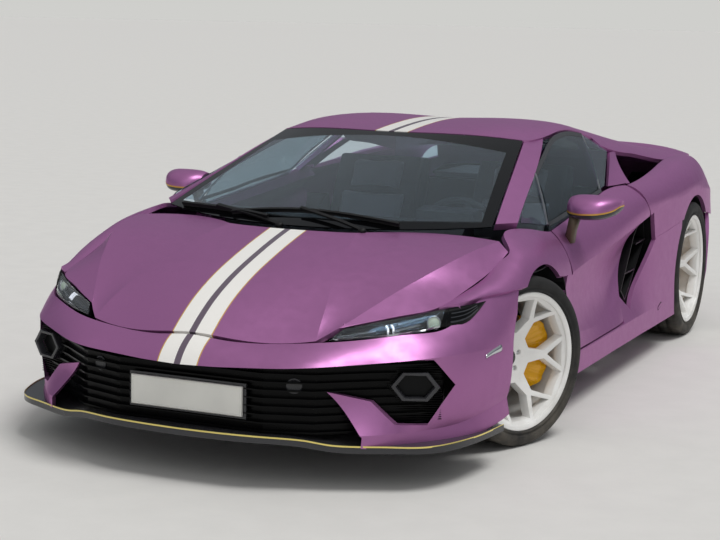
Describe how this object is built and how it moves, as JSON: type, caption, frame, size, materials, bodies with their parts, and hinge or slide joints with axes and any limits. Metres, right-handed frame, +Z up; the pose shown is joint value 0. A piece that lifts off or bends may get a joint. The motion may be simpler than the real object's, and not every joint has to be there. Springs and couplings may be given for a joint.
{
  "type": "mid-engined two-seat sports car",
  "caption": "Low wedge-shaped two-seat coupe with opening doors and lids, steered front wheels and four turning wheels.",
  "frame": {"origin": "centre of the car's footprint box, on the ground", "axes": "+X to the car's left, -Y toward the nose, +Z up"},
  "size_m": [2.242, 4.6981, 1.2108],
  "materials": {
    "body_paint": "satin violet paint",
    "black_gloss": "gloss black plastic",
    "black_matte": "matt black plastic",
    "plate": "blank white plate",
    "glass": "tinted glass",
    "lamp": "dark lamp unit",
    "red_lamp": "red lamp",
    "seat_fabric": "grey microfibre",
    "cast": "machined iron",
    "alloy": "cast aluminium",
    "white_wheel": "white paint",
    "yellow": "yellow paint",
    "tyre": "rubber",
    "exhaust_metal": "dark steel",
    "carbon_tub": "dark structure"
  },
  "bodies": {
    "chassis": {"front_bumper": "body_paint", "front_splitter": "black_gloss", "front_grille": "black_matte", "number_plate": "plate", "headlamps": "lamp", "front_fenders": "body_paint", "cowl": "black_matte", "fixed_glass": "glass", "cabin_frame": "body_paint", "body_sides": "body_paint", "side_ducts": "black_matte", "rear_quarters": "body_paint", "rear_bumper": "body_paint", "tail_lamps": "red_lamp", "tail_spoiler": "body_paint", "diffuser": "black_gloss", "engine_block": "alloy", "exhaust": "exhaust_metal", "floor_tub": "carbon_tub", "subframes": "alloy", "front_trunk": "black_matte", "wheel_liners": "black_matte", "dashboard": "black_matte", "seats": "seat_fabric", "suspension": "alloy", "rear_calipers": "yellow"},
    "hood_lid": {"hood": "body_paint"},
    "engine_lid": {"engine_cover": "black_gloss"},
    "door_l": {"door_left": "body_paint", "door_glass_left": "glass", "mirror_left": "body_paint"},
    "door_r": {"door_right": "body_paint", "door_glass_right": "glass", "mirror_right": "body_paint"},
    "steering": {"steering_wheel": "black_matte"},
    "upright_l": {"knuckle_left": "alloy", "caliper_left": "yellow"},
    "upright_r": {"knuckle_right": "alloy", "caliper_right": "yellow"},
    "wheel_fl": {"tyre_front_left": "tyre", "rim_front_left": "white_wheel", "disc_front_left": "cast"},
    "wheel_fr": {"tyre_front_right": "tyre", "rim_front_right": "white_wheel", "disc_front_right": "cast"},
    "wheel_rl": {"tyre_rear_left": "tyre", "rim_rear_left": "white_wheel", "disc_rear_left": "cast"},
    "wheel_rr": {"tyre_rear_right": "tyre", "rim_rear_right": "white_wheel", "disc_rear_right": "cast"}
  },
  "joints": [
    {"name": "steer_left", "type": "hinge", "parent": "chassis", "child": "upright_l", "pos_m": [0.748, -1.168, 0.3435], "axis": [0, 0, 1], "range_deg": [-13, 57]},
    {"name": "steer_right", "type": "hinge", "parent": "chassis", "child": "upright_r", "pos_m": [-0.748, -1.168, 0.3435], "axis": [0, 0, 1], "range_deg": [-13, 57]},
    {"name": "steering_wheel_turn", "type": "hinge", "parent": "chassis", "child": "steering", "pos_m": [0.375, -0.43, 0.72], "axis": [0, 0.9135, 0.4067], "range_deg": [-741, 169]},
    {"name": "door_left_swing", "type": "hinge", "parent": "chassis", "child": "door_l", "pos_m": [0.987, -0.665, 0.5], "axis": [0, 0, -1], "range_deg": [0, 60]},
    {"name": "door_right_swing", "type": "hinge", "parent": "chassis", "child": "door_r", "pos_m": [-0.987, -0.665, 0.5], "axis": [0, 0, 1], "range_deg": [0, 60]},
    {"name": "hood_lift", "type": "hinge", "parent": "chassis", "child": "hood_lid", "pos_m": [0, -1.195, 0.838], "axis": [-1, 0, 0], "range_deg": [0, 55]},
    {"name": "engine_lid_lift", "type": "hinge", "parent": "chassis", "child": "engine_lid", "pos_m": [0, 0.65, 1.168], "axis": [1, 0, 0], "range_deg": [0, 45]},
    {"name": "spin_front_left", "type": "hinge", "parent": "upright_l", "child": "wheel_fl", "pos_m": [0.85277, -1.21033, 0.3435], "axis": [0.9272, -0.3746, 0], "continuous": true},
    {"name": "spin_front_right", "type": "hinge", "parent": "upright_r", "child": "wheel_fr", "pos_m": [-0.85277, -1.12567, 0.3435], "axis": [0.9272, -0.3746, 0], "continuous": true},
    {"name": "spin_rear_left", "type": "hinge", "parent": "chassis", "child": "wheel_rl", "pos_m": [0.835, 1.49, 0.364], "axis": [1, 0, 0], "continuous": true},
    {"name": "spin_rear_right", "type": "hinge", "parent": "chassis", "child": "wheel_rr", "pos_m": [-0.835, 1.49, 0.364], "axis": [1, 0, 0], "continuous": true}
  ],
  "couplings": [
    {"joint": "steer_right", "follows": "steer_left", "ratio": 1},
    {"joint": "steering_wheel_turn", "follows": "steer_left", "ratio": -13}
  ]
}
